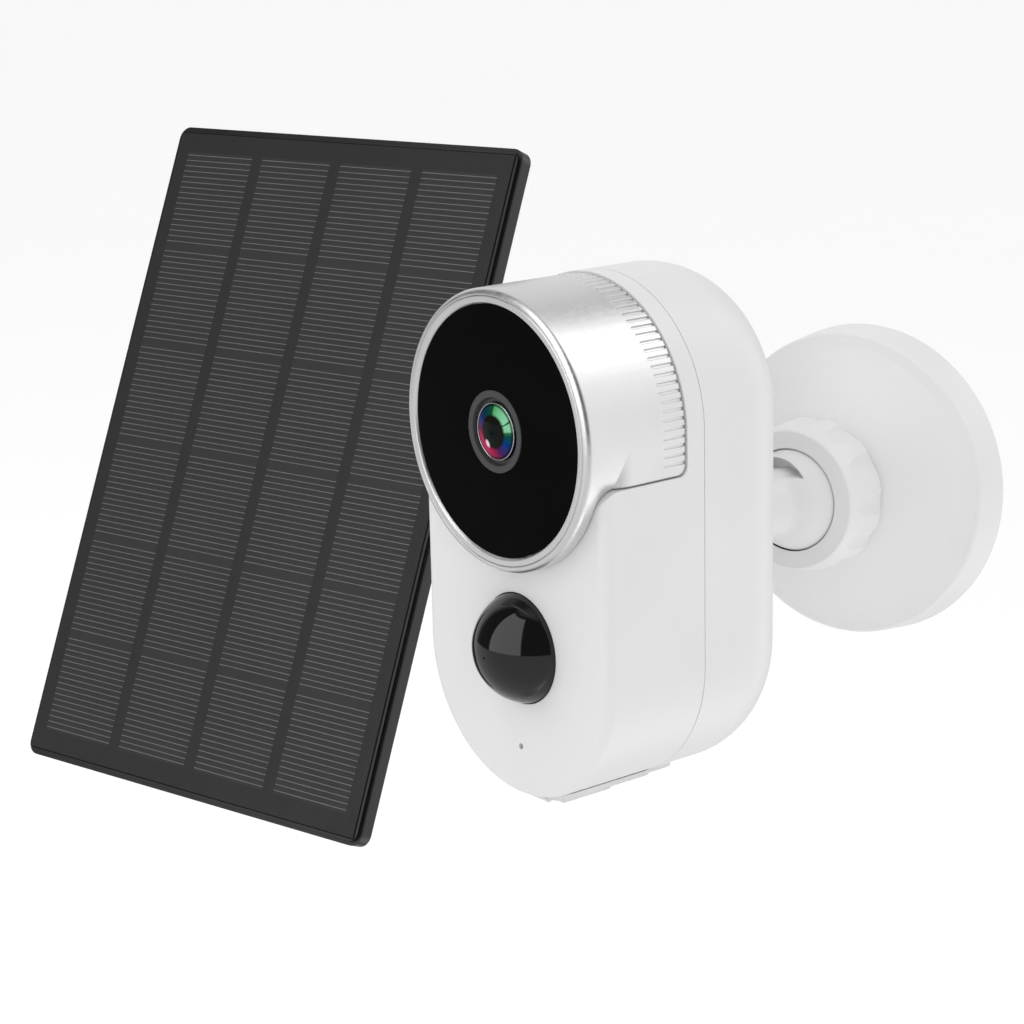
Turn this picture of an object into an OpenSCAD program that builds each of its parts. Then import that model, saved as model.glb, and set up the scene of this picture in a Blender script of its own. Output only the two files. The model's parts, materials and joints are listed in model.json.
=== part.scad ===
// Solar-powered security camera: a bullet-style battery camera on a wall-mounted ball joint,
// with its solar panel on a tilting bracket beside it.
// The frame is the wall: its face is the plane y = 0, +Y goes into the wall and +Z is up.
// The origin is the centre of the camera's round base, on the wall.
// The camera head is drawn in its own frame: x across, y from the bezel back, z up from the lens axis.

/* [Camera head] */
// Width of the pill-shaped head
head_width = 55; // [50:0.5:60]
// Height of the head
head_height = 101; // [95:0.5:110]
// Depth from the bezel's front to the back
head_depth = 55.3; // [52:0.1:60]
// Wall thickness of the two white shells
shell_wall = 2.2; // [1.8:0.1:2.5]
// How far the white face sits behind the bezel
face_setback = 3.8; // [3:0.1:5]
// Rounding of the white face's edge
front_edge = 2.4; // [1:0.1:3]
// Rounding of the back's edge
rear_edge = 15.3; // [12:0.1:17]
// Depth at which the two shells meet
seam_depth = 28.5; // [28:0.1:30]
// Turn of the head to its right, towards the panel
head_yaw = 12.1; // [0:0.1:15]
// Tip of the head's front downwards
head_pitch = 2.3; // [0:0.1:5]
// Lean of the head about its own length
head_roll = 0.9; // [-2:0.1:2]

/* [Lens end] */
// Radius of the silver drum
drum_radius = 27.2; // [26.5:0.1:27.4]
// Depth of the silver drum
drum_depth = 23.9; // [20:0.1:25]
// Radius of the silver collar under the drum
collar_radius = 26.6; // [26:0.1:26.8]
// Rounding of the white shell's shoulder beside the drum
shoulder_round = 3.5; // [2:0.5:4]
// Height of the drum's lower side edge below the lens axis
drum_drop = 7.4; // [6:0.1:9]
// Radius of the gloss black window
window_radius = 24.1; // [23.9:0.1:24.4]
// Outer radius of the lens surround
lens_surround_radius = 7.9; // [7:0.1:8]
// Number of grip grooves round the drum's upper half
rib_count = 51; // [31:1:53]
// Length of each grip groove
rib_length = 5.2; // [4:0.1:6]
// Number of infrared lamps behind the window
lamp_count = 6; // [4:1:8]

/* [Sensors] */
// Height of the motion sensor below the lens axis
pir_drop = 43; // [40:0.5:46]
// Radius of the motion sensor's dome
pir_radius = 10.9; // [9:0.1:11.5]
// How far the dome stands out of the white face
pir_height = 8.6; // [6:0.1:10]
// Height of the microphone hole below the lens axis
mic_drop = 63; // [62:0.5:64]
// How far the motion sensor and the microphone sit beside the head's middle
sensor_shift = 1.6; // [0:0.1:2]

/* [Ball joint] */
// Distance from the wall to the ball's centre
ball_out = 25.5; // [24:0.1:28]
// Radius of the ball
ball_radius = 11.5; // [10:0.1:12]
// Distance from the bezel's front to the ball's centre
ball_back = 82; // [78:0.5:90]
// Height of the ball below the lens axis
ball_drop = 27; // [24:0.5:30]
// Radius of the ball's neck
neck_radius = 7; // [6:0.1:7.2]
// Rounding between the neck and the ball
neck_flare = 3; // [2:0.1:3.2]
// Radius of the tripod stud's thread (a quarter-inch stud)
stud_radius = 3.1; // [3.05:0.01:3.12]
// Largest radius of the clamp nut
nut_radius = 16; // [15.5:0.1:17]
// Number of grip hollows round the clamp nut
nut_lobes = 12; // [8:1:16]

/* [Camera base] */
// Radius of the base cover at the wall
base_radius = 33.4; // [32:0.1:38]
// Circle of the three wall screws
base_screw_circle = 44; // [40:1:48]
// Radius of each wall screw hole
wall_hole_radius = 2.2; // [2:0.1:2.6]

/* [Solar panel] */
// Width of the cell plate
plate_width = 105.4; // [95:0.1:120]
// Height of the cell plate
plate_height = 154.9; // [140:0.1:175]
// Width of the black rim round the plate
rim_width = 1.7; // [1:0.1:3]
// Lean of the panel back from upright
panel_tilt = 21.3; // [0:0.1:28]
// Sideways place of the panel's centre
panel_x = -129.9; // [-140:0.1:-125]
// Distance of the panel's centre from the wall
panel_out = 53.9; // [50:0.1:60]
// Height of the panel's centre
panel_z = -5.2; // [-10:0.1:5]

/* [Panel bracket] */
// Distance from the wall to the upright pin
turn_out = 13; // [12:0.1:15]
// Radius of the two bracket pins
pin_radius = 2.5; // [2:0.1:3]
// Radius of the bracket's wall plate
bracket_radius = 19; // [17:0.1:20]
// Circle of the bracket's wall screws
bracket_screw_circle = 27; // [26:0.5:30]

/* [Hidden] */
$fn = 96;
GAP = 0.3;             // clearance between pieces that are put together
SEAM = 0.1;            // line between the two white shells
FIT = 0.06;            // running clearance of a pin in its hole
THROUGH = 60;          // longer than anything that is cut
head_r = head_width / 2;
axis_gap = head_height - head_width;
inner_r = head_r - shell_wall;
face_back = face_setback + shell_wall;
collar_back = 8;
seam_front = seam_depth - SEAM / 2;
seam_rear = seam_depth + SEAM / 2;
board_front = 22.2;
board_thick = 1.4;
post_places = [[-18, -27], [18, -27], [-18, -52], [18, -52]];
boss_reach = 22.4;
boss_places = [
    [0, boss_reach],
    [boss_reach / 2, -axis_gap - boss_reach * sin(60)],
    [-boss_reach / 2, -axis_gap - boss_reach * sin(60)]
];
boss_floor = 47;       // depth of the shell screws' heads
cover_bore = 14.3;     // hole in the base cover round the ball's socket
rim_height = 9.1;      // the cover's cone starts here over the wall
cone_radius = base_radius - 1.8;
cover_rise = 9.4;      // height of the cover's cone over its rim
relief_radius = 9.3;   // hollow in the ball over its neck
relief_floor = 6.2;    // height of the hollow's floor over the neck's axis
bezel_outer = 25.8;    // outer radius of the bezel ring
flank_round = 7;       // rounding of the drum's straight sides at the front
stud_end = ball_back - 14;
cell_radius = 9.1;
cell_length = 65;
cell_depth = 36;
cell_bottom = -59;
lamp_ring = 15.5;
usb_y = 15;
card_y = 18.9;
bay_front = 8;
bay_back = 21.6;
bay_half = 8.5;
bay_roof = -69;        // ceiling of the port bay, over the row of ports
bay_inside = -66.6;    // inner face of that ceiling
cover_hinge = [8.7, -head_r - axis_gap - 1.1];
pivot_back = 25.65;    // panel tilt pin: distance behind the cell plate
pivot_up = 8;          // panel tilt pin: distance above the plate's centre
pivot_out = panel_out - pivot_back * cos(panel_tilt) - pivot_up * sin(panel_tilt);
pivot_z = panel_z - pivot_back * sin(panel_tilt) + pivot_up * cos(panel_tilt);
back_screw_x = 48;
back_screw_z = 66;

// ---------- shared shapes ----------

// Places a piece drawn in the head's frame
module in_head() {
    translate([0, -ball_out, 0])
    rotate([head_pitch, 0, -head_yaw])
    rotate([0, head_roll, 0])
    translate([0, -ball_back, ball_drop])
    children();
}

// Places a piece drawn in the panel's frame: y runs back from the cell plate's face
module in_panel() {
    translate([panel_x, -panel_out, panel_z])
    rotate([-panel_tilt, 0, 0])
    children();
}

// A round bar along y
module bar_y(radius, from, to) {
    translate([0, from, 0])
    rotate([-90, 0, 0])
    cylinder(r = radius, h = to - from);
}

// A round tube along y
module tube_y(outer, inner, from, to) {
    difference() {
        bar_y(outer, from, to);
        bar_y(inner, from - 1, to + 1);
    }
}

// Turns a profile of radius against depth about the y axis
module turned_y() {
    rotate([-90, 0, 0])
    rotate_extrude()
    children();
}

// Turns a profile of radius against distance from the wall about the base's axis
module turned_out() {
    rotate([90, 0, 0])
    rotate_extrude()
    children();
}

// Carries a profile of radius against depth round the head's pill shape
module pill_round() {
    mirror([0, 0, 1])
    rotate([-90, 0, 0])
    rotate_extrude(angle = 180)
    children();
    translate([0, 0, -axis_gap])
    rotate([-90, 0, 0])
    rotate_extrude(angle = 180)
    children();
    translate([0, 0, -axis_gap])
    linear_extrude(axis_gap) {
        children();
        mirror([1, 0])
        children();
    }
}

module quarter_disc(radius) {
    intersection() {
        circle(radius);
        square(radius);
    }
}

module front_profile(radius, from, to, edge) {
    translate([0, from + edge])
    square([radius, to - from - edge]);
    translate([0, from])
    square([radius - edge, edge]);
    translate([radius - edge, from + edge])
    mirror([0, 1])
    quarter_disc(edge);
}

module rear_profile(radius, from, to, edge) {
    translate([0, from])
    square([radius, to - from - edge]);
    translate([0, to - edge])
    square([radius - edge, edge]);
    translate([radius - edge, to - edge])
    quarter_disc(edge);
}

// A box given by its lowest and highest corners
module block(low, high) {
    translate(low)
    cube(high - low);
}

module rounded_plate(width, height, corner, thick) {
    rotate([90, 0, 0])
    translate([0, 0, -thick])
    linear_extrude(thick)
    rounded_outline(width, height, corner);
}

module rounded_outline(width, height, corner) {
    square([width - 2 * corner, height], center = true);
    square([width, height - 2 * corner], center = true);
    for (sx = [-1, 1], sy = [-1, 1])
        translate([sx * (width / 2 - corner), sy * (height / 2 - corner)])
        circle(corner);
}

// ---------- camera base and ball joint ----------

module wall_base() {
    color("whitesmoke")
    difference() {
        turned_out() {
            square([30.5, 3]);
            square([13.8, 11.4]);
            translate([12.6, 0])
            square([1.2, 24.4]);
        }
        for (turn = [90, 210, 330])
            rotate([0, turn, 0])
            translate([base_screw_circle / 2, 0, 0])
            bar_y(wall_hole_radius, -4, 1);
    }
}

// The cover's outer surface: a steep rim, a rounded edge and a hollow cone up to the nut
function cover_outline(drop) = concat(
    [[base_radius - drop, 0.5], [base_radius - 0.8 - drop, rim_height - 1 - drop]],
    [for (a = [15:15:90]) [cone_radius - drop + cos(a), rim_height - 1 - drop + sin(a)]],
    [for (s = [0.1:0.1:1])
        [cone_radius - drop - (cone_radius - drop - cover_bore) * s,
            rim_height - drop + cover_rise * pow(s, 1.3)]]
);

module base_cover() {
    color("whitesmoke")
    difference() {
        turned_out()
        difference() {
            polygon(concat(cover_outline(0), [[cover_bore, 0.5]]));
            translate([0, -0.5])
            polygon(concat(cover_outline(1.8), [[cover_bore, -1], [31, -1]]));
        }
        rotate([0, -115, 0])
        block([base_radius - 2.6, -1.4, -4], [base_radius + 2, 0, 4]);
    }
}

module clamp_nut() {
    color("whitesmoke")
    difference() {
        turned_out()
        difference() {
            polygon([
                [10, 19], [nut_radius - 1.1, 19], [nut_radius, 20.2], [nut_radius, 21.4],
                [nut_radius - 0.3, 26], [nut_radius - 1.3, 30], [nut_radius - 1.6, 30.3], [10, 30.3]
            ]);
            square([13.9, 24.8]);
            translate([0, ball_out])
            intersection() {
                circle(ball_radius + 0.35);
                translate([0, -20])
                square(40);
            }
            square([10.75, 40]);
        }
        for (turn = [0 : 360 / nut_lobes : 359])
            rotate([0, turn, 0])
            translate([nut_radius + 4.1, 0, 0])
            bar_y(5, -31, -18);
    }
}

module ball_seat() {
    color("dimgray")
    turned_out()
    difference() {
        translate([0, 11.7])
        square([12.52, 11.7]);
        translate([0, ball_out])
        intersection() {
            circle(ball_radius + 0.08);
            translate([0, -20])
            square(40);
        }
    }
}

// Profile of the neck's widening into the ball, about the ball's centre
module flare_profile() {
    reach = sqrt(pow(ball_radius + neck_flare, 2) - pow(neck_radius + neck_flare, 2));
    touch = ball_radius / (ball_radius + neck_flare);
    difference() {
        polygon([
            [0, 0], [0, -reach], [neck_radius + neck_flare, -reach],
            [(neck_radius + neck_flare) * touch, -reach * touch]
        ]);
        translate([neck_radius + neck_flare, -reach])
        circle(neck_flare);
    }
}

module ball_stem() {
    color("whitesmoke")
    in_head()
    translate([0, 0, -ball_drop])
    difference() {
        union() {
            difference() {
                translate([0, ball_back, 0]) {
                    sphere(ball_radius);
                    turned_y()
                    flare_profile();
                }
                intersection() {
                    bar_y(relief_radius, ball_back - 14, ball_back - 4);
                    block([-20, 40, relief_floor], [20, ball_back, 20]);
                }
            }
            bar_y(neck_radius, head_depth + GAP, ball_back - 1);
            bar_y(neck_radius + 1.6, head_depth + GAP, head_depth + GAP + 2);
        }
        bar_y(stud_radius + 0.02, head_depth, stud_end);
    }
}

module tripod_stud() {
    color("silver")
    in_head()
    translate([0, 0, -ball_drop])
    bar_y(stud_radius, 48, stud_end - 0.2);
}

// ---------- camera housing ----------

module screw_boss_outline(place, radius, from, to) {
    translate([place.x, 0, place.y])
    bar_y(radius, from, to);
}

module front_shell() {
    color("white")
    in_head()
    difference() {
        union() {
            difference() {
                pill_round()
                front_profile(head_r, face_setback, seam_front, front_edge);
                pill_round()
                translate([0, face_back])
                square([inner_r, THROUGH]);
                bar_y(collar_radius + 0.2, 0, collar_back);
                drum_side(GAP);
                pill_round()
                translate([inner_r + 0.7, seam_front - 0.6])
                square([0.9, 2]);
            }
            collar_seat();
            for (place = post_places)
                screw_boss_outline(place, 2.1, face_back - 0.5, board_front - 0.1);
            front_bosses();
            port_bay();
        }
        translate([sensor_shift, 0, -pir_drop])
        bar_y(pir_radius + 0.15, 0, face_back + 0.1);
        translate([sensor_shift, 0, -mic_drop])
        bar_y(0.6, 0, face_back + 0.1);
        for (place = post_places)
            screw_boss_outline(place, 0.95, 14, THROUGH);
        for (place = boss_places)
            screw_boss_outline(place, 1.3, 24.4, THROUGH);
        port_bay_cuts();
    }
}

// Ring that the silver collar's lower half sits in
module collar_seat() {
    intersection() {
        pill_round()
        translate([0, face_setback + 1])
        square([inner_r + 0.5, 10]);
        difference() {
            bar_y(collar_radius + 2.4, face_setback + 1, collar_back + 1.6);
            bar_y(24.2, 0, THROUGH);
            bar_y(collar_radius + 0.2, 0, collar_back);
            drum_side(GAP);
        }
    }
}

module front_bosses() {
    intersection() {
        pill_round()
        square([inner_r + 0.5, seam_front - 0.7]);
        for (place = boss_places)
            screw_boss_outline(place, 3.4, drum_depth + GAP, seam_front - 0.7);
    }
}

module port_bay() {
    intersection() {
        pill_round()
        square([head_r - 0.5, 25]);
        block([-10.5, face_back - 0.5, -75], [10.5, bay_back + 1.6, bay_inside]);
    }
}

module port_bay_cuts() {
    block([-bay_half, bay_front, -80], [bay_half, bay_back, bay_roof]);
    block([-4.6, usb_y - 1.75, -75], [4.6, usb_y + 1.75, -60]);
    block([-5.7, card_y - 0.6, -75], [5.7, card_y + 0.6, -60]);
    translate([-4.2, 10.7, -75])
    cylinder(r = 1.75, h = 15);
    translate([4.2, 10.7, -75])
    cylinder(r = 0.95, h = 15);
}

module rear_shell() {
    color("white")
    in_head()
    difference() {
        union() {
            difference() {
                pill_round()
                rear_profile(head_r, seam_rear, head_depth, rear_edge);
                pill_round()
                rear_profile(inner_r, 20, head_depth - shell_wall, rear_edge - shell_wall);
            }
            intersection() {
                pill_round()
                rear_profile(head_r - 0.6, seam_rear, head_depth - 0.6, rear_edge - 0.6);
                for (place = boss_places)
                    screw_boss_outline(place, 3.8, seam_rear, 54);
            }
            translate([0, 0, -ball_drop])
            bar_y(7.2, 47.2, head_depth - 0.6);
        }
        translate([0, 0, -ball_drop])
        bar_y(5.05, 40, THROUGH);
        for (place = boss_places) {
            screw_boss_outline(place, 1.35, 20, THROUGH);
            screw_boss_outline(place, 2.6, boss_floor, THROUGH);
        }
        speaker_holes();
    }
}

module speaker_holes() {
    translate([0, 0, -4])
    bar_y(0.7, 50, THROUGH);
    for (ring = [1, 2], turn = [0 : 60 / ring : 359])
        translate([2.3 * ring * cos(turn), 0, -4 + 2.3 * ring * sin(turn)])
        bar_y(0.7, 50, THROUGH);
}

module shell_gasket() {
    color("gray")
    in_head()
    pill_round()
    translate([inner_r + 0.75, seam_front - 0.55])
    square([0.8, 0.5 + SEAM]);
}

module shell_screws() {
    color("silver")
    in_head()
    for (place = boss_places)
        translate([place.x, 0, place.y])
        difference() {
            union() {
                bar_y(1.25, 24.7, boss_floor + 1);
                bar_y(2.4, boss_floor + 0.05, boss_floor + 1.9);
            }
            bar_y(0.9, boss_floor + 1, boss_floor + 3);
        }
}

module tripod_insert() {
    color("goldenrod")
    in_head()
    translate([0, 0, -ball_drop])
    tube_y(5, stud_radius + 0.075, 47.3, head_depth - 0.15);
}

// ---------- lens end ----------

// The silver drum as seen from its side, cut right across the head: its lower edge runs
// forward a little below the lens axis, then turns down over the white shell's rounded shoulder
module drum_side(gap) {
    rear_round = 2;
    translate([0, 0, -drum_drop])
    rotate([90, 0, 90])
    linear_extrude(head_width + 2, center = true) {
        translate([0, -gap])
        square([drum_depth + gap - rear_round, head_r + drum_drop + 1]);
        translate([0, rear_round - gap])
        square([drum_depth + gap, head_r + drum_drop + 1]);
        translate([drum_depth + gap - rear_round, rear_round - gap])
        circle(rear_round);
        difference() {
            translate([0, -shoulder_round - GAP])
            square([face_setback + shoulder_round, shoulder_round + GAP + 1]);
            translate([face_setback + shoulder_round, -shoulder_round - GAP])
            circle(shoulder_round + GAP - gap);
        }
    }
}

module rib_cuts() {
    pitch = PI * drum_radius / (rib_count - 1);
    for (i = [0 : rib_count - 1])
        rotate([0, -180 * i / (rib_count - 1), 0])
        rib_cut();
    for (i = [1 : 3], turn = [0, 180])
        translate([0, 0, -pitch * i])
        rotate([0, turn, 0])
        rib_cut();
}

// One groove with a round front end, cut into the side that faces +x
module rib_cut() {
    half = 0.3;
    translate([drum_radius - 0.35, drum_depth - rib_length, 0]) {
        block([0, 0, -half], [1.5, rib_length + 1, half]);
        rotate([0, 90, 0])
        cylinder(r = half, h = 1.5, $fn = 16);
    }
}

// The drum's straight sides below the lens axis, rounded at the front like the white shell
module drum_flanks() {
    translate([0, 0, -drum_drop - 1])
    linear_extrude(drum_drop + 1) {
        front_profile(drum_radius, face_setback - GAP, drum_depth, flank_round);
        mirror([1, 0])
        front_profile(drum_radius, face_setback - GAP, drum_depth, flank_round);
    }
}

module drum_cap() {
    color("silver")
    in_head()
    difference() {
        union() {
            intersection() {
                union() {
                    bar_y(drum_radius, face_setback - 1, drum_depth);
                    drum_flanks();
                }
                drum_side(0);
            }
            turned_y()
            front_profile(drum_radius, 0.05, face_setback - GAP, 1.2);
            bar_y(collar_radius, 2, collar_back - 0.2);
        }
        bar_y(bezel_outer + 0.05, -1, 1.2);
        bar_y(window_radius + 0.3, 0, 2.5);
        bar_y(22.8, 2, 4);
        bar_y(24.9, 3.5, THROUGH);
        block([-24.9, collar_back, -drum_drop - 1], [24.9, THROUGH, 0]);
        rib_cuts();
    }
}

module bezel_ring() {
    color("silver")
    in_head()
    turned_y()
    polygon([
        [window_radius + 0.15, 0.5], [window_radius + 0.5, 0], [bezel_outer - 0.1, 0],
        [bezel_outer, 0.1], [bezel_outer, 1.1], [window_radius + 0.15, 1.1]
    ]);
}

module front_window() {
    color([0.03, 0.03, 0.035])
    in_head()
    tube_y(window_radius, lens_surround_radius + 0.15, 0.45, 2.3);
}

module lens_surround() {
    color([0.2, 0.2, 0.21])
    in_head()
    turned_y()
    polygon([
        [6.6, 0.3], [lens_surround_radius, 0.3], [lens_surround_radius, 3.4],
        [5.6, 3.4], [5.6, 1.2], [6.3, 1.2]
    ]);
}

module lens_glass() {
    color([0.1, 0.2, 0.3])
    in_head()
    turned_y()
    intersection() {
        translate([0, 15.65])
        circle(16);
        translate([0, -1])
        square([5.3, 4.3]);
    }
}

module lens_barrel() {
    color([0.08, 0.08, 0.08])
    in_head()
    turned_y()
    difference() {
        union() {
            translate([0, 3.6])
            square([6.6, 6]);
            translate([0, 9.4])
            square([8.2, 4.8]);
        }
        square([4.6, 12]);
    }
}

module lens_holder() {
    color([0.12, 0.12, 0.12])
    in_head()
    difference() {
        union() {
            bar_y(9.6, 9.8, 15);
            block([-10, 14.6, -10], [10, 16.6, 10]);
        }
        bar_y(8.25, 9, 14.4);
        block([-4.6, 14, -4.6], [4.6, 17, 4.6]);
    }
}

module image_sensor() {
    color([0.2, 0.3, 0.35])
    in_head()
    block([-4.3, 15.2, -4.3], [4.3, 16.5, 4.3]);
}

module sensor_board() {
    color("darkgreen")
    in_head()
    block([-12, 16.8, -12], [12, 18, 12]);
}

module lamp_board() {
    color("darkgreen")
    in_head()
    tube_y(window_radius - 0.1, lens_surround_radius + 0.5, 4, 5.2);
}

module infrared_lamps() {
    color([0.25, 0.2, 0.25])
    in_head()
    for (i = [0 : lamp_count - 1])
        rotate([0, 30 + 360 * i / lamp_count, 0])
        translate([lamp_ring, 0, 0])
        bar_y(1.75, 2.6, 4);
}

// ---------- sensors and sound ----------

module pir_dome() {
    sphere_r = (pir_radius * pir_radius + pir_height * pir_height) / (2 * pir_height);
    centre = face_setback - pir_height + sphere_r;
    color([0.04, 0.04, 0.045])
    in_head()
    translate([sensor_shift, 0, -pir_drop])
    turned_y()
    difference() {
        union() {
            intersection() {
                translate([0, centre])
                circle(sphere_r);
                translate([0, -10])
                square([20, 10 + face_setback]);
            }
            translate([0, face_setback])
            square([pir_radius, shell_wall + 0.3]);
            translate([0, face_back + 0.2])
            square([pir_radius + 1.7, 1.2]);
        }
        translate([0, centre])
        intersection() {
            circle(sphere_r - 1.3);
            translate([0, -20])
            square(40);
        }
        translate([0, centre])
        square([pir_radius - 1.3, 10]);
    }
}

module pir_sensor() {
    color("silver")
    in_head()
    translate([sensor_shift, 0, -pir_drop])
    bar_y(4.6, 7.6, 12);
}

module pir_board() {
    color("darkgreen")
    in_head()
    block([-12, 12.2, -pir_drop - 11], [15, 13.4, -pir_drop + 11]);
}

module microphone() {
    color("silver")
    in_head()
    translate([sensor_shift, 0, -mic_drop])
    bar_y(2.2, face_back + 0.2, face_back + 2);
}

module speaker() {
    color([0.15, 0.15, 0.15])
    in_head()
    translate([0, 0, -4])
    difference() {
        bar_y(8, 49, 52.8);
        bar_y(6.6, 51.8, 54);
    }
}

// ---------- electronics ----------

module main_board() {
    color("darkgreen")
    in_head()
    difference() {
        union() {
            block([-18, board_front, -56], [18, board_front + board_thick, 14]);
            block([-21.5, board_front, -56], [21.5, board_front + board_thick, -2]);
        }
        for (place = post_places)
            screw_boss_outline(place, 1.1, 20, THROUGH);
    }
}

module board_chips() {
    color([0.1, 0.1, 0.1])
    in_head() {
        top = board_front + board_thick;
        block([-7, top, -14], [7, top + 1.2, 0]);
        block([-16, top, -46], [-2, top + 2, -30]);
        block([5, top, -44], [13, top + 1.2, -36]);
    }
}

module board_screws() {
    color("silver")
    in_head()
    for (place = post_places) {
        screw_boss_outline(place, 0.85, 16, board_front + 2);
        screw_boss_outline(place, 1.9, board_front + board_thick + 0.05, board_front + 2.6);
    }
}

module battery_cell(side) {
    color([0.25, 0.5, 0.35])
    in_head()
    translate([side * (cell_radius + 0.2), cell_depth, cell_bottom])
    cylinder(r = cell_radius, h = cell_length);
}

module battery_left() {
    battery_cell(-1);
}

module battery_right() {
    battery_cell(1);
}

module battery_contacts() {
    color("silver")
    in_head()
    for (side = [-1, 1], z = [cell_bottom - 0.5, cell_bottom + cell_length + 0.1])
        translate([side * (cell_radius + 0.2), cell_depth, z])
        cylinder(r = 3.6, h = 0.4);
}

module battery_holder() {
    low = cell_bottom - 2.2;
    high = cell_bottom + cell_length + 2.2;
    color([0.12, 0.12, 0.12])
    in_head()
    difference() {
        union() {
            block([-15, 45.4, low], [15, 46.8, high]);
            block([-13, 30, low], [13, 46, low + 1.5]);
            block([-13, 30, high - 1.5], [13, 46, high]);
        }
        translate([0, 0, -ball_drop])
        bar_y(6.6, 40, THROUGH);
    }
}

module wifi_antenna() {
    color([0.75, 0.6, 0.3])
    in_head()
    block([-24.9, 30, -45], [-24.5, 39.5, -12]);
}

// ---------- ports and buttons under the head ----------

module port_board() {
    color("darkgreen")
    in_head()
    block([-9, 8.8, -61.4], [9, 17.6, -60.2]);
}

module usb_socket() {
    color("silver")
    in_head()
    difference() {
        block([-4.45, usb_y - 1.6, bay_roof - 0.1], [4.45, usb_y + 1.6, -61.6]);
        difference() {
            block([-3.9, usb_y - 1.1, -75], [3.9, usb_y + 1.1, -63]);
            block([-3.1, usb_y - 0.3, bay_roof + 0.8], [3.1, usb_y + 0.3, -62]);
        }
    }
}

module card_socket() {
    color("silver")
    in_head()
    difference() {
        block([-7, card_y - 1.3, -66.3], [7, card_y + 1.3, -53.2]);
        block([-5.65, card_y - 0.55, -75], [5.65, card_y + 0.55, -54]);
    }
}

module memory_card() {
    color([0.08, 0.08, 0.08])
    in_head()
    block([-5.5, card_y - 0.4, -69.8], [5.5, card_y + 0.4, -54.9]);
}

module button_switches() {
    color([0.15, 0.15, 0.15])
    in_head()
    for (side = [-1, 1])
        block([side * 4.2 - 2, 8.9, -64.3], [side * 4.2 + 2, 12.7, -61.5]);
}

// A cap that is pushed up into the head, with a flange that keeps it in
module button_cap(radius, side) {
    in_head()
    translate([side * 4.2, 10.7, 0]) {
        translate([0, 0, bay_roof - 0.9])
        cylinder(r = radius, h = -bay_roof + bay_inside + 1.2);
        translate([0, 0, bay_inside + 0.2])
        cylinder(r = radius + 0.5, h = 0.8);
    }
}

module power_button() {
    color("lightgray")
    button_cap(1.7, -1);
}

module reset_button() {
    color("lightgray")
    button_cap(0.9, 1);
}

module port_cover() {
    color("whitesmoke")
    in_head() {
        intersection() {
            translate([0, 0, -axis_gap])
            tube_y(head_r + 1.3, head_r + GAP, cover_hinge.x - 0.3, 40);
            translate([0, 0, -90])
            linear_extrude(30) {
                translate([0, 19.7])
                rounded_outline(19.2, 22.6, 2.4);
                translate([0, 29.5])
                rounded_outline(15.2, 19, 3);
            }
        }
        translate([-4, cover_hinge.x, cover_hinge.y])
        rotate([0, 90, 0])
        cylinder(r = 0.6, h = 8);
        difference() {
            block([-bay_half + GAP, bay_front + 0.9, -74.2], [bay_half - GAP, bay_back - 0.7, -70.8]);
            block([-bay_half + 1.5, bay_front + 2.1, -76], [bay_half - 1.5, bay_back - 1.9, -70]);
        }
    }
}

// ---------- solar panel ----------

module cell_plate() {
    color([0.16, 0.17, 0.19])
    in_panel()
    block([-plate_width / 2, 0, -plate_height / 2], [plate_width / 2, 1.4, plate_height / 2]);
}

module panel_frame() {
    width = plate_width + 2 * rim_width;
    height = plate_height + 2 * rim_width;
    color([0.06, 0.06, 0.065])
    in_panel()
    difference() {
        union() {
            translate([0, 0.2, 0])
            rounded_plate(width - 1.6, height - 1.6, 2.4, 1);
            translate([0, 0.9, 0])
            rounded_plate(width, height, 3, 3.1);
        }
        block(
            [-plate_width / 2 - 0.15, -1, -plate_height / 2 - 0.15],
            [plate_width / 2 + 0.15, 1.6, plate_height / 2 + 0.15]
        );
        block([-45.5, -1, -62], [45.5, 10, 62]);
        panel_screw_places()
        bar_y(1, 2.2, 10);
    }
}

module panel_screw_places() {
    for (sx = [-1, 1], z = [-back_screw_z, 0, back_screw_z])
        translate([sx * back_screw_x, 0, z])
        children();
}

module panel_seal() {
    color([0.15, 0.15, 0.15])
    in_panel()
    difference() {
        block([-51, 4.1, -75.5], [51, 4.6, 75.5]);
        block([-46, 0, -72], [46, 10, 72]);
        panel_screw_places()
        bar_y(1.5, 0, 10);
    }
}

module panel_back() {
    color([0.08, 0.08, 0.085])
    in_panel()
    difference() {
        union() {
            translate([0, 4.7, 0])
            rounded_plate(102.4, 151.4, 3, 1.6);
            translate([0, 6, 0])
            rounded_plate(88, 138, 5, 6);
        }
        block([-42, 0, -60], [42, 10, 60]);
        panel_screw_places()
        bar_y(1.4, 0, 20);
        outlet_place()
        cylinder(r = 2.25, h = 30, center = true);
        for (sx = [-1, 1], sz = [-1, 1])
            translate([sx * 13, 0, pivot_up + sz * 13])
            bar_y(1.2, 8, 14);
    }
}

// The cable leaves through the tray's lower edge
module outlet_place() {
    translate([0, 9.1, -69])
    children();
}

module panel_screws() {
    color("silver")
    in_panel()
    panel_screw_places() {
        bar_y(0.95, 2.4, 7);
        bar_y(2, 6.35, 7.6);
    }
}

module charge_board() {
    color("darkgreen")
    in_panel()
    block([-16, 7, -56], [16, 8.2, -36]);
}

module cable_outlet() {
    color([0.05, 0.05, 0.05])
    in_panel()
    outlet_place()
    difference() {
        union() {
            translate([0, 0, -4])
            cylinder(r = 2.2, h = 12);
            translate([0, 0, -4])
            cylinder(r = 2.6, h = 3.8);
        }
        translate([0, 0, -10])
        cylinder(r = 1.3, h = 30);
    }
}

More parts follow.
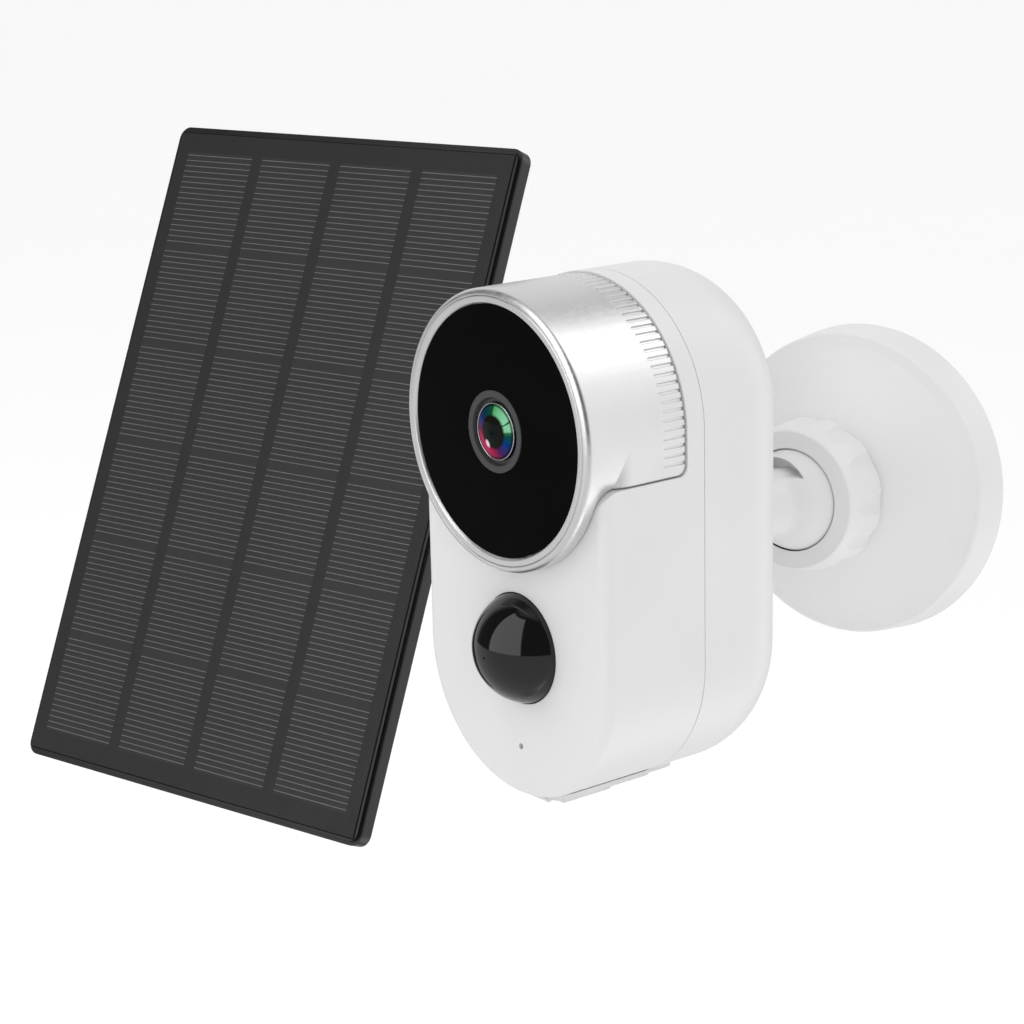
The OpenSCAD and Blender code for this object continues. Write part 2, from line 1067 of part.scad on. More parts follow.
module panel_mount() {
    color([0.1, 0.1, 0.1])
    in_panel()
    translate([0, 0, pivot_up])
    difference() {
        union() {
            translate([0, 12.2, 0])
            rounded_plate(36, 36, 4, 3);
            block([-4.7, 14, -7], [4.7, pivot_back, 7]);
            lug_disc(4.7, 7);
        }
        lug_disc(20, pin_radius + FIT);
        for (sx = [-1, 1], sz = [-1, 1])
            translate([sx * 13, 0, sz * 13])
            bar_y(1.4, 10, 20);
    }
}

module lug_disc(half, radius) {
    translate([-half, pivot_back, 0])
    rotate([0, 90, 0])
    cylinder(r = radius, h = 2 * half);
}

module mount_screws() {
    color("silver")
    in_panel()
    for (sx = [-1, 1], sz = [-1, 1])
        translate([sx * 13, 0, pivot_up + sz * 13]) {
            bar_y(1.15, 8.2, 16);
            bar_y(2.3, 15.3, 16.9);
        }
}

// ---------- panel bracket ----------

// Places a piece at the bracket, level with the tilt pin
module at_bracket() {
    translate([panel_x, 0, pivot_z])
    children();
}

module upright(radius, from, to) {
    translate([0, -turn_out, from])
    cylinder(r = radius, h = to - from);
}

module bracket_plate() {
    color([0.1, 0.1, 0.1])
    at_bracket()
    difference() {
        union() {
            turned_out()
            square([bracket_radius, 3.5]);
            for (side = [-1, 1]) {
                low = side > 0 ? 5.3 : -8.3;
                upright(6, low, low + 3);
                block([-6, -turn_out, low], [6, -3, low + 3]);
            }
        }
        upright(pin_radius + 0.02, -20, 20);
        for (turn = [90, 210, 330])
            rotate([0, turn, 0])
            translate([bracket_screw_circle / 2, 0, 0])
            bar_y(wall_hole_radius, -5, 1);
    }
}

module bracket_arm() {
    color([0.1, 0.1, 0.1])
    at_bracket()
    difference() {
        union() {
            upright(6, -5, 5);
            block([-8, -19.4, -5], [8, -15, 5]);
            for (side = [-1, 1]) {
                low = side > 0 ? 5 : -8;
                cheek(low, 7);
                block([low, -pivot_out, -5], [low + 3, -15, 5]);
            }
        }
        upright(pin_radius + FIT, -20, 20);
        translate([-20, -pivot_out, 0])
        rotate([0, 90, 0])
        cylinder(r = pin_radius + 0.02, h = 40);
    }
}

module cheek(low, radius) {
    translate([low, -pivot_out, 0])
    rotate([0, 90, 0])
    cylinder(r = radius, h = 3);
}

module turn_pin() {
    color("silver")
    at_bracket() {
        upright(pin_radius, -9, 9);
        upright(pin_radius + 1.2, 8.5, 10);
        upright(pin_radius + 1.2, -10, -8.5);
    }
}

module tilt_bolt() {
    color("silver")
    at_bracket()
    translate([0, -pivot_out, 0])
    rotate([0, 90, 0]) {
        translate([0, 0, -10])
        cylinder(r = pin_radius, h = 24);
        translate([0, 0, -11.2])
        cylinder(r = 4.6, h = 3, $fn = 6);
    }
}

module clamp_knob() {
    color([0.1, 0.1, 0.1])
    at_bracket()
    translate([0, -pivot_out, 0])
    rotate([0, 90, 0])
    difference() {
        union() {
            translate([0, 0, 8.4])
            cylinder(r = 4.5, h = 8);
            translate([0, 0, 10])
            cylinder(r = 7.5, h = 6.4);
        }
        translate([0, 0, 8])
        cylinder(r = pin_radius + FIT, h = 6.5);
        for (turn = [0 : 60 : 359])
            rotate([0, 0, turn])
            translate([9.5, 0, 9])
            cylinder(r = 3, h = 9);
    }
}

// ---------- drawing ----------

wall_base();
base_cover();
clamp_nut();
ball_seat();
ball_stem();
tripod_stud();
front_shell();
rear_shell();
shell_gasket();
shell_screws();
tripod_insert();
drum_cap();
bezel_ring();
front_window();
lens_surround();
lens_glass();
lens_barrel();
lens_holder();
image_sensor();
sensor_board();
lamp_board();
infrared_lamps();
pir_dome();
pir_sensor();
pir_board();
microphone();
speaker();
main_board();
board_chips();
board_screws();
battery_left();
battery_right();
battery_contacts();
battery_holder();
wifi_antenna();
port_board();
usb_socket();
card_socket();
memory_card();
button_switches();
power_button();
reset_button();
port_cover();
cell_plate();
panel_frame();
panel_seal();
panel_back();
panel_screws();
charge_board();
cable_outlet();
panel_mount();
mount_screws();
bracket_plate();
bracket_arm();
turn_pin();
tilt_bolt();
clamp_knob();
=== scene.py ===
import json
import math

import bmesh
import bpy
from mathutils import Matrix, Vector


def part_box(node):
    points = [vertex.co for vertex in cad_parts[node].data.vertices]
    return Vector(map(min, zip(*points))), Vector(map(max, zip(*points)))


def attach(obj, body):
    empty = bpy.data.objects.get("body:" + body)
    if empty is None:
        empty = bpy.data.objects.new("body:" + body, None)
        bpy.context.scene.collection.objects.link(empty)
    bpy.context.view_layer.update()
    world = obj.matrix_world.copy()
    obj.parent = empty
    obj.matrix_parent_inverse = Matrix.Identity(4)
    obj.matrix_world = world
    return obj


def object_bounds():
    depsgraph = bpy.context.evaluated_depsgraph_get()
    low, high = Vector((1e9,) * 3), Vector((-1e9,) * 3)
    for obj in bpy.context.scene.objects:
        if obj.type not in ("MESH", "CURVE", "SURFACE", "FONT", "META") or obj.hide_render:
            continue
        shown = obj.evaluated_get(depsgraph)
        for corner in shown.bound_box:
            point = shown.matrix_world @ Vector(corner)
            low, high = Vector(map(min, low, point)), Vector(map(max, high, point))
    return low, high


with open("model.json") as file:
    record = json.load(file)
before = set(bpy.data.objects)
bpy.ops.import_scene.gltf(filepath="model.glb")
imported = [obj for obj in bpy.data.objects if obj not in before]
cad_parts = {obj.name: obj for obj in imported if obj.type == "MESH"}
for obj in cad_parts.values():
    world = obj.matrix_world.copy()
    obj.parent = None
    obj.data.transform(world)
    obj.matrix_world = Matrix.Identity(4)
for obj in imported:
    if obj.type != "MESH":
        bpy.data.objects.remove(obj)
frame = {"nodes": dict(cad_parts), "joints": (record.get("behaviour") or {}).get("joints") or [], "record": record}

cad_low, cad_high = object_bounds()
middle = (cad_low + cad_high) / 2
MM = 0.001


# ---------- frames of the head and the panel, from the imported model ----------

BEZEL_DEPTH = 1.1
PLATE_DEPTH = 1.4


def joint_axis(name):
    joint = next(j for j in frame["joints"] if j["name"] == name)
    return Vector(joint["axis"]).normalized()


def centre(node):
    low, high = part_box(node)
    return (low + high) / 2


def frame_matrix(origin, across, back, up):
    """Local x, y and z are in millimetres, so the matrix also turns them into metres."""
    turn = Matrix((across, back, up)).transposed().to_4x4()
    return Matrix.Translation(origin) @ turn @ Matrix.Scale(MM, 4)


head_back = joint_axis("camera_spin")
head_up = joint_axis("power_button_press")
head_across = head_back.cross(head_up)
head_front = centre("bezel_ring") - head_back * BEZEL_DEPTH / 2 * MM
HEAD = frame_matrix(head_front, head_across, head_back, head_up)

plate_face = max(frame["nodes"]["cell_plate"].data.polygons, key=lambda p: p.area)
panel_back = Vector(plate_face.normal)
if panel_back.y < 0:
    panel_back = -panel_back
panel_across = Vector((1, 0, 0))
panel_up = panel_across.cross(panel_back)
panel_centre = centre("cell_plate") - panel_back * PLATE_DEPTH / 2 * MM
PANEL = frame_matrix(panel_centre, panel_across, panel_back, panel_up)


# ---------- camera ----------

VIEW_AZIMUTH = math.radians(39.05)
VIEW_DIP = math.radians(12.6)
VIEW_DISTANCE = 0.5691
VIEW_LENS = 91.4
SENSOR_WIDTH = 36
CLIP_START = 0.02
CLIP_END = 200
# Where the view's centre line passes the object, from the middle of the object's box
VIEW_AIM = Vector((0.0136, 0.0103, -0.0025))


def make_camera():
    data = bpy.data.cameras.new("view")
    data.lens = VIEW_LENS
    data.sensor_width = SENSOR_WIDTH
    data.clip_start = CLIP_START
    data.clip_end = CLIP_END
    camera = bpy.data.objects.new("view", data)
    bpy.context.scene.collection.objects.link(camera)
    back = Vector((
        math.sin(VIEW_AZIMUTH) * math.cos(VIEW_DIP),
        -math.cos(VIEW_AZIMUTH) * math.cos(VIEW_DIP),
        math.sin(VIEW_DIP),
    ))
    camera.location = middle + VIEW_AIM + back * VIEW_DISTANCE
    camera.rotation_mode = "QUATERNION"
    camera.rotation_quaternion = (-back).to_track_quat("-Z", "Y")
    bpy.context.scene.camera = camera


make_camera()


# ---------- shader nodes ----------

def maths(tree, operation, *values):
    made = tree.nodes.new("ShaderNodeMath")
    made.operation = operation
    for socket, value in zip(made.inputs, values):
        if isinstance(value, (int, float)):
            socket.default_value = value
        else:
            tree.links.new(value, socket)
    return made.outputs[0]


def ramp(tree, source, stops):
    """A colour ramp. Each stop is a place from 0 to 1 and the colour there."""
    made = tree.nodes.new("ShaderNodeValToRGB")
    points = made.color_ramp.elements
    while len(points) < len(stops):
        points.new(0.5)
    for point, (place, colour) in zip(points, stops):
        point.position = place
        point.color = (*colour, 1)
    tree.links.new(source, made.inputs["Fac"])
    return made.outputs["Color"]


class Finish:
    """A node material built up from a Principled shader, with its pattern in object space."""

    def __init__(self, name, rough, metal=0.0, specular=0.5):
        self.material = bpy.data.materials.new(name)
        self.material.use_nodes = True
        self.tree = self.material.node_tree
        self.shader = self.tree.nodes["Principled BSDF"]
        self.shader.inputs["Metallic"].default_value = metal
        self.shader.inputs["Roughness"].default_value = rough
        self.shader.inputs["Specular IOR Level"].default_value = specular
        self.place = self.tree.nodes.new("ShaderNodeTexCoord").outputs["Object"]
        self.normal = None

    def node(self, kind, **values):
        made = self.tree.nodes.new(kind)
        for key, value in values.items():
            setattr(made, key, value)
        return made

    def link(self, source, target):
        self.tree.links.new(source, target)

    def noise(self, scale, detail, stretch=None):
        made = self.node("ShaderNodeTexNoise")
        made.inputs["Scale"].default_value = scale
        made.inputs["Detail"].default_value = detail
        place = self.place
        if stretch:
            mapping = self.node("ShaderNodeMapping")
            mapping.inputs["Scale"].default_value = stretch
            self.link(place, mapping.inputs["Vector"])
            place = mapping.outputs["Vector"]
        self.link(place, made.inputs["Vector"])
        return made.outputs["Fac"]

    def spread(self, source, low, high, start=0.3, end=0.7):
        """Maps a pattern's values from start to end onto the numbers from low to high."""
        made = self.node("ShaderNodeMapRange")
        limits = {"From Min": start, "From Max": end, "To Min": low, "To Max": high}
        for key, value in limits.items():
            made.inputs[key].default_value = value
        self.link(source, made.inputs["Value"])
        return made.outputs["Result"]

    def mix(self, factor, first, second):
        made = self.node("ShaderNodeMix", data_type="RGBA")
        self.link(factor, made.inputs["Factor"])
        for socket, value in ((made.inputs[6], first), (made.inputs[7], second)):
            if isinstance(value, tuple):
                socket.default_value = (*value, 1)
            else:
                self.link(value, socket)
        return made.outputs[2]

    def maths(self, operation, *values):
        return maths(self.tree, operation, *values)

    def distance(self, x, y):
        squares = (self.maths("MULTIPLY", x, x), self.maths("MULTIPLY", y, y))
        return self.maths("SQRT", self.maths("ADD", *squares))

    def along(self, origin, axis):
        """Distance of a point from origin along an axis, in millimetres."""
        offset = self.node("ShaderNodeVectorMath", operation="SUBTRACT")
        self.link(self.place, offset.inputs[0])
        offset.inputs[1].default_value = origin
        dot = self.node("ShaderNodeVectorMath", operation="DOT_PRODUCT")
        self.link(offset.outputs["Vector"], dot.inputs[0])
        dot.inputs[1].default_value = axis
        return self.maths("MULTIPLY", dot.outputs["Value"], 1 / MM)

    def colour(self, source):
        self.link(source, self.shader.inputs["Base Color"])

    def roughness(self, source):
        self.link(source, self.shader.inputs["Roughness"])

    def bump(self, source, strength, depth):
        made = self.node("ShaderNodeBump")
        made.inputs["Strength"].default_value = strength
        made.inputs["Distance"].default_value = depth
        self.link(source, made.inputs["Height"])
        if self.normal:
            self.link(self.normal, made.inputs["Normal"])
        self.set_normal(made)

    def soft_edges(self, radius):
        made = self.node("ShaderNodeBevel", samples=4)
        made.inputs["Radius"].default_value = radius
        self.set_normal(made)

    def set_normal(self, made):
        self.normal = made.outputs["Normal"]
        self.link(self.normal, self.shader.inputs["Normal"])


# ---------- materials ----------

SOFT_EDGE = 2.5e-4
BOARD_WEAVE = (900, 1, (1, 1, 0.2))


def shade(colour, factor):
    return tuple(min(1.0, c * factor) for c in colour)


def surface(name, colour, rough, rough_range, tint, patches, gloss, grain, strength, depth,
            metal=0.0, specular=0.5, edges=None, contrast=(0.3, 0.7)):
    """A finish whose colour, roughness and relief each follow a noise of their own.

    The colour turns to its tint in patches. patches, gloss and grain each give a noise's
    scale and detail, and a third value stretches it."""
    f = Finish(name, rough, metal, specular)
    if edges:
        f.soft_edges(edges)
    f.colour(f.mix(f.spread(f.noise(*patches), 0, 1, *contrast), colour, shade(colour, tint)))
    f.roughness(f.spread(f.noise(*gloss), *rough_range))
    f.bump(f.noise(*grain), strength, depth)
    return f.material


def moulded(name, colour, rough, grain=4200, depth=6e-6, specular=0.5):
    """Moulded plastic: a fine spark-eroded grain with faint flow marks and handled patches."""
    return surface(
        name, colour, rough, (rough - 0.03, rough + 0.03), tint=0.97, patches=(38, 3),
        gloss=(140, 4), grain=(grain, 2), strength=0.35, depth=depth, specular=specular,
        edges=SOFT_EDGE,
    )


def metallic(name, colour, rough, brushed=(1, 1, 1), grain=3000, depth=3e-6, edges=2e-4):
    return surface(
        name, colour, rough, (rough * 0.85, rough * 1.2), tint=0.93, patches=(60, 3),
        gloss=(grain * 0.2, 3, brushed), grain=(grain, 2, brushed), strength=0.3, depth=depth,
        metal=1.0, edges=edges,
    )


def rubber(name, colour, rough=0.62):
    return surface(
        name, colour, rough, (rough - 0.07, rough + 0.07), tint=0.9, patches=(90, 4),
        gloss=(500, 3), grain=(2600, 3), strength=0.4, depth=1.2e-5, specular=0.35,
        edges=SOFT_EDGE,
    )


def glossy_black(name, colour, rough, specular):
    """Polished plastic, with a trace of dust and fine wiping marks in its gloss."""
    return surface(
        name, colour, rough, (rough * 0.7, rough * 1.5), tint=1.5, patches=(55, 3),
        gloss=(900, 3, (1, 1, 0.15)), grain=(220, 2), strength=0.05, depth=4e-6,
        specular=specular,
    )


def circuit_board(name):
    """Green solder mask over a pattern of tracks."""
    return surface(
        name, (0.02, 0.13, 0.05), 0.3, (0.25, 0.4), tint=1.7, patches=BOARD_WEAVE,
        gloss=(400, 2), grain=BOARD_WEAVE, strength=0.4, depth=2e-5, contrast=(0.52, 0.56),
    )


def cell_silicon(name):
    """Dark cells between the finger lines, a little lighter than the sheet they lie on."""
    return surface(
        name, (0.0205, 0.0208, 0.0212), 0.4, (0.36, 0.46), tint=0.84, patches=(34, 3),
        gloss=(300, 3), grain=(3400, 1), strength=0.4, depth=1.6e-5, specular=0.3,
    )


def cell_laminate(name):
    """The panel's sheet: nearly black, satin and finely pebbled."""
    f = Finish(name, 0.36, specular=0.3)
    dark = (0.0095, 0.0098, 0.0102)
    crystal = f.mix(f.spread(f.noise(26, 3), 0, 1), dark, shade(dark, 0.82))
    f.colour(f.mix(f.spread(f.noise(5200, 1), 0, 0.6), crystal, shade(dark, 1.8)))
    f.roughness(f.spread(f.noise(300, 3), 0.36, 0.46))
    f.bump(f.noise(3400, 1), 0.5, 2.4e-5)
    return f.material


# ---------- lens coating ----------

LENS_RADIUS = 5.3
COATING_ROUGH = 0.03
# The colours once round the rim, all painted reflections of the coating: a green window patch crossed by a painted
# dark bar, and crimson and blue beside it
PAINTED_REFLECTION_ROUND = [
    (0.0, (0.12, 0.0, 0.04)), (0.08, (0.36, 0.004, 0.07)), (0.17, (0.42, 0.01, 0.08)),
    (0.25, (0.30, 0.008, 0.05)), (0.32, (0.06, 0.01, 0.08)), (0.42, (0.0, 0.03, 0.17)),
    (0.49, (0.0, 0.06, 0.05)), (0.515, (0.02, 0.14, 0.05)), (0.525, (0.20, 0.52, 0.30)),
    (0.577, (0.24, 0.58, 0.34)), (0.581, (0.01, 0.06, 0.02)), (0.588, (0.01, 0.06, 0.02)),
    (0.592, (0.24, 0.60, 0.36)), (0.70, (0.14, 0.46, 0.22)), (0.755, (0.08, 0.30, 0.12)),
    (0.765, (0.004, 0.07, 0.02)), (0.85, (0.004, 0.03, 0.05)),
    (0.93, (0.01, 0.015, 0.15)), (1.0, (0.10, 0.0, 0.05)),
]
# The dark barrel behind the middle, from the centre out
COATING_IN = [
    (0.0, (0.002, 0.006, 0.008)), (0.30, (0.005, 0.008, 0.007)),
    (0.52, (0.009, 0.007, 0.004)), (0.60, (0.002, 0.002, 0.003)), (1.0, (0.002, 0.002, 0.003)),
]
# Shares of the radius between which the colours begin and fade
BAND_START = (0.56, 0.66)
BAND_END = (0.90, 0.94)
BAND_FADE = 0.25
TURN_WAVER = 0.012
# The painted glint: its place in millimetres, its squeeze and slant, and its soft edge
GLINT_ACROSS = 1.65
GLINT_UP = 3.03
GLINT_SQUEEZE = 1.1
GLINT_SLANT = 0.35
GLINT_EDGE = (0.45, 0.85)
GLINT_COLOUR = (0.80, 0.62, 0.64)


def lens_coating(name):
    """Coated glass over a black barrel, the middle dark. The colours that change round the rim are painted
    reflections, with a painted window bar, and a painted glint sits low on the left.
    """
    f = Finish(name, COATING_ROUGH, specular=0.05)
    across = f.along(head_front, head_across)
    up = f.along(head_front, head_up)
    out = f.maths("DIVIDE", f.distance(across, up), LENS_RADIUS)
    turn = f.maths("DIVIDE", f.maths("ARCTAN2", up, across), 2 * math.pi)
    turn = f.maths("ADD", turn, 0.5)
    turn = f.maths("ADD", turn, f.spread(f.noise(260, 2), -TURN_WAVER, TURN_WAVER))
    # rim: the painted reflections round the rim, with the painted window bar
    rim = ramp(f.tree, turn, PAINTED_REFLECTION_ROUND)
    barrel = ramp(f.tree, out, COATING_IN)
    inner_band = f.spread(out, 0, 1, *BAND_START)
    outer_line = f.spread(out, 1, BAND_FADE, *BAND_END)
    # The dark barrel in the middle, and the painted rim reflections in the band round it
    barrel_and_painted_reflection = f.mix(f.maths("MULTIPLY", inner_band, outer_line), barrel, rim)
    # The painted glint: a pale pink painted highlight low on the left of the lens
    glint_x = f.maths("MULTIPLY", f.maths("ADD", across, GLINT_ACROSS), GLINT_SQUEEZE)
    slant = f.maths("MULTIPLY", across, GLINT_SLANT)
    glint_y = f.maths("ADD", f.maths("ADD", up, GLINT_UP), slant)
    glint = f.spread(f.distance(glint_x, glint_y), 1, 0, *GLINT_EDGE)
    f.colour(f.mix(glint, barrel_and_painted_reflection, GLINT_COLOUR))
    f.roughness(f.spread(f.noise(1500, 2), COATING_ROUGH * 0.6, COATING_ROUGH * 1.6))
    f.bump(f.noise(300, 1), 0.03, 2e-6)
    return f.material


# ---------- the materials by name ----------

finishes = {
    "white_housing": moulded("white_housing", (0.775, 0.775, 0.78), 0.4),
    "white_mount": moulded("white_mount", (0.785, 0.785, 0.79), 0.44),
    "silver_trim": metallic("silver_trim", (0.84, 0.842, 0.845), 0.34,
                            grain=5200, depth=1.2e-6, edges=4e-4),
    "black_window": glossy_black("black_window", (0.0012, 0.0012, 0.0013), 0.06, 0.02),
    "lens_trim": moulded("lens_trim", (0.045, 0.045, 0.048), 0.42, specular=0.4),
    "lens_coating": lens_coating("lens_coating"),
    "lens_rim": metallic("lens_rim", (0.62, 0.62, 0.63), 0.25),
    "finger_ink": metallic("finger_ink", (0.25, 0.25, 0.255), 0.5, grain=2600),
    "cell_silicon": cell_silicon("cell_silicon"),
    "dark_dome": glossy_black("dark_dome", (0.003, 0.003, 0.0033), 0.04, 0.5),
    "black_inner": moulded("black_inner", (0.02, 0.02, 0.021), 0.55),
    "circuit_board": circuit_board("circuit_board"),
    "chip": moulded("chip", (0.025, 0.025, 0.027), 0.5),
    "lamp": glossy_black("lamp", (0.02, 0.016, 0.024), 0.1, 0.5),
    "steel": metallic("steel", (0.6, 0.6, 0.61), 0.3, brushed=(1, 1, 0.2)),
    "brass": metallic("brass", (0.75, 0.52, 0.2), 0.25),
    "battery_sleeve": moulded("battery_sleeve", (0.02, 0.16, 0.08), 0.3),
    "antenna_film": moulded("antenna_film", (0.5, 0.28, 0.06), 0.35),
    "grey_rubber": rubber("grey_rubber", (0.2, 0.2, 0.205)),
    "white_rubber": rubber("white_rubber", (0.74, 0.74, 0.745), 0.5),
    "button_plastic": moulded("button_plastic", (0.5, 0.5, 0.51), 0.4),
    "solar_cells": cell_laminate("solar_cells"),
    "black_frame": moulded("black_frame", (0.0055, 0.0055, 0.006), 0.24,
                           specular=0.35, depth=2e-6),
    "black_tray": moulded("black_tray", (0.016, 0.016, 0.017), 0.5, depth=1.2e-5),
    "black_seal": rubber("black_seal", (0.012, 0.012, 0.012), 0.7),
    "bracket_black": moulded("bracket_black", (0.018, 0.018, 0.019), 0.48,
                             grain=2200, depth=2e-5),
}


def dress_cad_nodes():
    for part in frame["record"]["subparts"]:
        mesh = frame["nodes"][part["node"]].data
        mesh.materials.clear()
        mesh.materials.append(finishes[part["material_slot"]])


dress_cad_nodes()


# ---------- rounded edges ----------

ROUNDING_STEPS = 3
ROUNDING_ANGLE = math.radians(50)


def round_edges(node, width):
    """Rounds a moulded piece's sharp edges by a width in millimetres."""
    rounding = frame["nodes"][node].modifiers.new("rounding", "BEVEL")
    rounding.width = width * MM
    rounding.segments = ROUNDING_STEPS
    rounding.limit_method = "ANGLE"
    rounding.angle_limit = ROUNDING_ANGLE


round_edges("panel_frame", 0.7)
round_edges("port_cover", 0.3)


# ---------- mesh helpers ----------

LATHE_STEPS = 128
SHARP_ANGLE = math.radians(40)
WELD_DISTANCE = 1e-7


def piece(name, verts, faces, matrix, body, finish, smooth):
    mesh = bpy.data.meshes.new(name)
    mesh.from_pydata([matrix @ Vector(v) for v in verts], [], faces)
    build = bmesh.new()
    build.from_mesh(mesh)
    bmesh.ops.remove_doubles(build, verts=build.verts, dist=WELD_DISTANCE)
    bmesh.ops.recalc_face_normals(build, faces=build.faces)
    build.to_mesh(mesh)
    build.free()
    mesh.materials.append(finishes[finish])
    made = bpy.data.objects.new(name, mesh)
    bpy.context.scene.collection.objects.link(made)
    if smooth:
        for polygon in mesh.polygons:
            polygon.use_smooth = True
        mesh.set_sharp_from_angle(angle=SHARP_ANGLE)
    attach(made, body)


def lathe(name, profile, matrix, body, finish):
    """Turns (radius, depth) points about the local y axis."""
    verts = []
    for radius, depth in profile:
        for i in range(LATHE_STEPS):
            a = 2 * math.pi * i / LATHE_STEPS
            verts.append((radius * math.cos(a), depth, radius * math.sin(a)))
    faces = []
    for row in range(0, (len(profile) - 1) * LATHE_STEPS, LATHE_STEPS):
        for i in range(LATHE_STEPS):
            k = (i + 1) % LATHE_STEPS
            faces.append((row + i, row + k, row + LATHE_STEPS + k, row + LATHE_STEPS + i))
    piece(name, verts, faces, matrix, body, finish, smooth=True)


def boxes(name, places, front, back, body, finish):
    """Thin strips on the cell plate, each given by its low and high corners.

    Their hidden side, which lies in the plate, is left open."""
    verts = []
    faces = []
    for x0, z0, x1, z1 in places:
        n = len(verts)
        for y in (front, back):
            verts += [(x0, y, z0), (x1, y, z0), (x1, y, z1), (x0, y, z1)]
        faces += [(n, n + 1, n + 2, n + 3)]
        faces += [(n + i, n + (i + 1) % 4, n + 4 + (i + 1) % 4, n + 4 + i) for i in range(4)]
    piece(name, verts, faces, PANEL, body, finish, smooth=False)


# ---------- cell pattern of the solar panel ----------

CELL_COLUMNS = 4
CELL_ROWS = 6
CELL_WIDTH = 22.0
CELL_HEIGHT = 23.3
COLUMN_PITCH = 25.4
ROW_PITCH = 24.4
FINGERS = 17
FINGER_PITCH = 1.365
FINGER_WIDTH = 0.16
# Depths from the plate's face: strips stand proud of it, with their backs inside it
CELL_PROUD = -0.02
FINGER_PROUD = -0.04
STRIP_BACK = 0.02


def spaced(count, pitch):
    """Places of a row of things about its middle."""
    return [(i - (count - 1) / 2) * pitch for i in range(count)]


def make_cells():
    cells = []
    fingers = []
    half_width = CELL_WIDTH / 2
    half_line = FINGER_WIDTH / 2
    half_strip = ((CELL_ROWS - 1) * ROW_PITCH + CELL_HEIGHT) / 2
    for x in spaced(CELL_COLUMNS, COLUMN_PITCH):
        low_x, high_x = x - half_width, x + half_width
        cells.append((low_x, -half_strip, high_x, half_strip))
        for z in spaced(CELL_ROWS, ROW_PITCH):
            for offset in spaced(FINGERS, FINGER_PITCH):
                line = z + offset
                fingers.append((low_x, line - half_line, high_x, line + half_line))
    boxes("cell_silicon", cells, CELL_PROUD, STRIP_BACK,
          "solar_panel", "cell_silicon")
    boxes("cell_fingers", fingers, FINGER_PROUD, STRIP_BACK,
          "solar_panel", "finger_ink")


# ---------- bright rim round the lens ----------

RIM_WIRE = 0.12
RIM_DEPTH = 0.62
RIM_STEP = 30


def make_lens_rim():
    profile = []
    for degrees in range(0, 361, RIM_STEP):
        a = math.radians(degrees)
        profile.append((
            LENS_RADIUS + RIM_WIRE + RIM_WIRE * math.cos(a),
            RIM_DEPTH + RIM_WIRE * math.sin(a),
        ))
    lathe("lens_rim", profile, HEAD, "camera_head", "lens_rim")


# ---------- floor ----------

FLOOR_DROP = 0.25
FLOOR_HALF = 60
FLOOR_EMISSION = 0.12


def make_floor():
    h = FLOOR_HALF
    z = cad_low.z - FLOOR_DROP
    mesh = bpy.data.meshes.new("floor")
    mesh.from_pydata([(-h, -h, z), (h, -h, z), (h, h, z), (-h, h, z)], [], [(0, 1, 2, 3)])
    floor = bpy.data.objects.new("floor", mesh)
    bpy.context.scene.collection.objects.link(floor)
    f = Finish("pale_floor", 0.85, specular=0.1)
    f.colour(f.mix(f.noise(0.7, 2), (0.93, 0.93, 0.93), (0.95, 0.95, 0.95)))
    f.shader.inputs["Emission Color"].default_value = (1, 1, 1, 1)
    f.shader.inputs["Emission Strength"].default_value = FLOOR_EMISSION
    mesh.materials.append(f.material)
    floor.visible_glossy = False


# ---------- world ----------

VIEW_WHITE = 1.0
SOFT_WHITE = 0.88
# Brightness of the studio that polished surfaces mirror, on the side away from the wall
ROOM_GLOW = 0.08
WINDOW_GLOW = 1.7
CEILING_GLOW = 0.35
FLOOR_GLOW = 0.72
# Soft edges: the window's left and right by angle, all others by the direction's height
WINDOW_LEFT = (-0.86, -0.80)
WINDOW_RIGHT = (0.40, 0.34)
WINDOW_FOOT = (-0.13, -0.09)
WINDOW_HEAD = (0.93, 0.90)
CEILING_EDGE = (0.93, 0.97)
FLOOR_EDGE = (-0.09, -0.13)
# Where the studio gives way to the side towards the wall, by the direction's depth
BACK_EDGE = (-0.15, 0.15)
# Brightness on the side towards the wall, by the direction's x from 0 to 1
BACK_GLOW = [
    (0.0, 0.75), (0.20, 0.80), (0.34, 0.72), (0.42, 0.50), (0.50, 0.55), (0.58, 1.0),
    (0.68, 1.9), (0.76, 1.9), (0.81, 1.05), (1.0, 0.85),
]
# A ramp's colours are kept within 1, so the brightness is divided and multiplied by this
GLOW_SCALE = 2.0


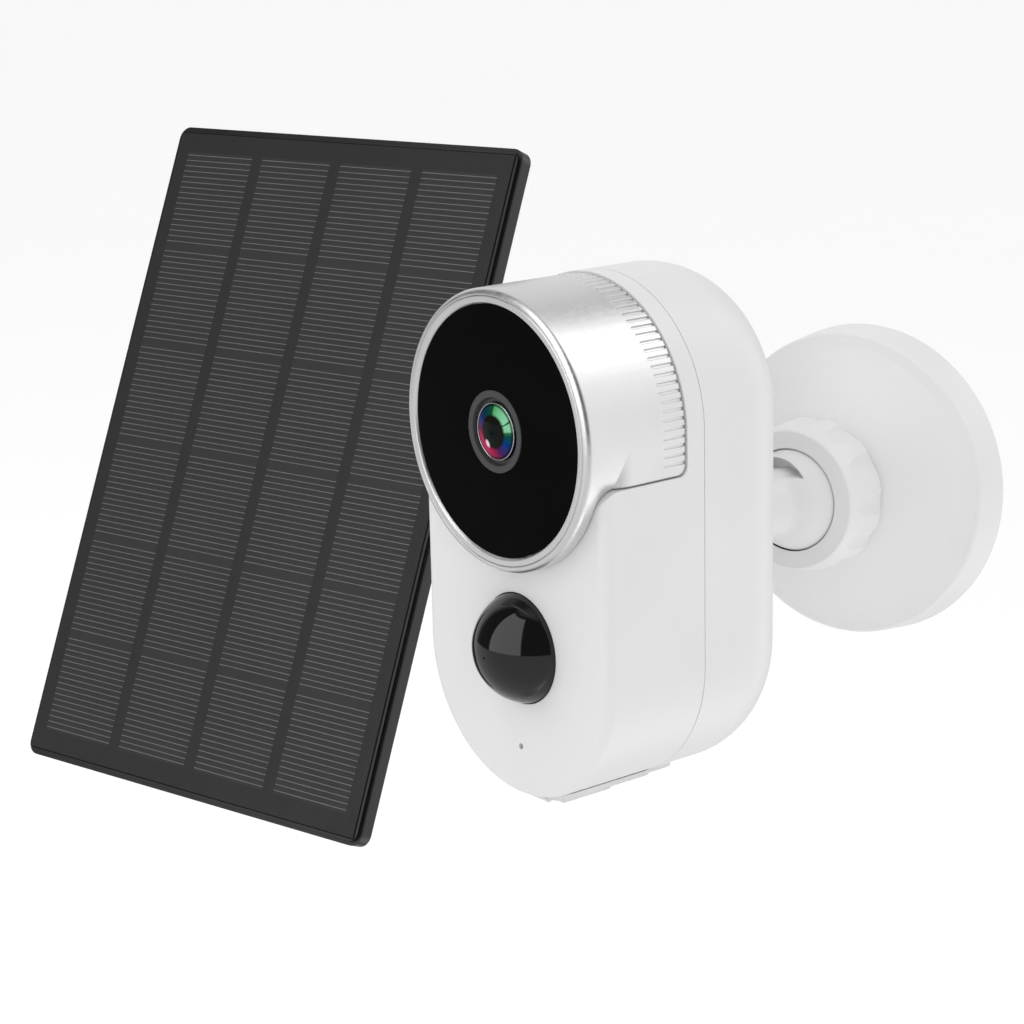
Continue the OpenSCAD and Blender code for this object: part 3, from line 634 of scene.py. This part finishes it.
def make_world():
    """White for the view and for soft light, and a studio that only polished surfaces mirror."""
    world = bpy.data.worlds.new("studio")
    bpy.context.scene.world = world
    world.use_nodes = True
    tree = world.node_tree
    soft = tree.nodes["Background"]
    soft.inputs["Color"].default_value = (1, 1, 1, 1)

    def step(source, edge):
        made = tree.nodes.new("ShaderNodeMapRange")
        made.interpolation_type = "SMOOTHSTEP"
        made.inputs["From Min"].default_value, made.inputs["From Max"].default_value = edge
        tree.links.new(source, made.inputs["Value"])
        return made.outputs["Result"]

    def times(first, second):
        return maths(tree, "MULTIPLY", first, second)

    def plus(first, second):
        return maths(tree, "ADD", first, second)

    def blend(factor, first, second):
        return plus(times(maths(tree, "SUBTRACT", 1.0, factor), first), times(factor, second))

    coordinates = tree.nodes.new("ShaderNodeTexCoord")
    split = tree.nodes.new("ShaderNodeSeparateXYZ")
    tree.links.new(coordinates.outputs["Generated"], split.inputs[0])
    x, y, z = split.outputs
    around = maths(tree, "ARCTAN2", x, times(y, -1.0))
    window = times(step(around, WINDOW_LEFT), step(around, WINDOW_RIGHT))
    window = times(window, times(step(z, WINDOW_FOOT), step(z, WINDOW_HEAD)))
    ceiling = times(step(z, CEILING_EDGE), CEILING_GLOW)
    front = plus(plus(ROOM_GLOW, times(window, WINDOW_GLOW)), ceiling)
    front = blend(step(z, FLOOR_EDGE), front, FLOOR_GLOW)
    stops = [(place, (glow / GLOW_SCALE,) * 3) for place, glow in BACK_GLOW]
    back = ramp(tree, maths(tree, "MULTIPLY_ADD", x, 0.5, 0.5), stops)
    back = times(back, GLOW_SCALE)
    gloss = tree.nodes.new("ShaderNodeBackground")
    gloss.inputs["Color"].default_value = (1, 1, 1, 1)
    tree.links.new(blend(step(y, BACK_EDGE), front, back), gloss.inputs["Strength"])
    path = tree.nodes.new("ShaderNodeLightPath")
    white = maths(tree, "MULTIPLY_ADD", path.outputs["Is Camera Ray"],
                  VIEW_WHITE - SOFT_WHITE, SOFT_WHITE)
    tree.links.new(white, soft.inputs["Strength"])
    choose = tree.nodes.new("ShaderNodeMixShader")
    tree.links.new(path.outputs["Is Glossy Ray"], choose.inputs["Fac"])
    tree.links.new(soft.outputs[0], choose.inputs[1])
    tree.links.new(gloss.outputs[0], choose.inputs[2])
    tree.links.new(choose.outputs[0], tree.nodes["World Output"].inputs["Surface"])


# ---------- lights ----------

def area_light(name, offset, side, power):
    """A square soft light, placed from the object's middle and turned towards it."""
    data = bpy.data.lights.new(name, "AREA")
    data.shape = "RECTANGLE"
    data.size = side
    data.size_y = side
    data.energy = power
    light = bpy.data.objects.new(name, data)
    place = middle + Vector(offset)
    light.location = place
    light.rotation_mode = "QUATERNION"
    light.rotation_quaternion = (middle - place).to_track_quat("-Z", "Y")
    light.visible_camera = False
    light.visible_glossy = False
    bpy.context.scene.collection.objects.link(light)


make_cells()
make_lens_rim()
make_floor()
make_world()
bpy.context.scene.view_settings.view_transform = "Standard"
area_light("key", (-0.9, -1.2, 1.1), side=0.8, power=2.4)
area_light("fill", (1.6, -0.9, 0.6), side=1.0, power=0.8)
area_light("top", (-0.2, -0.3, 1.6), side=1.0, power=3.4)
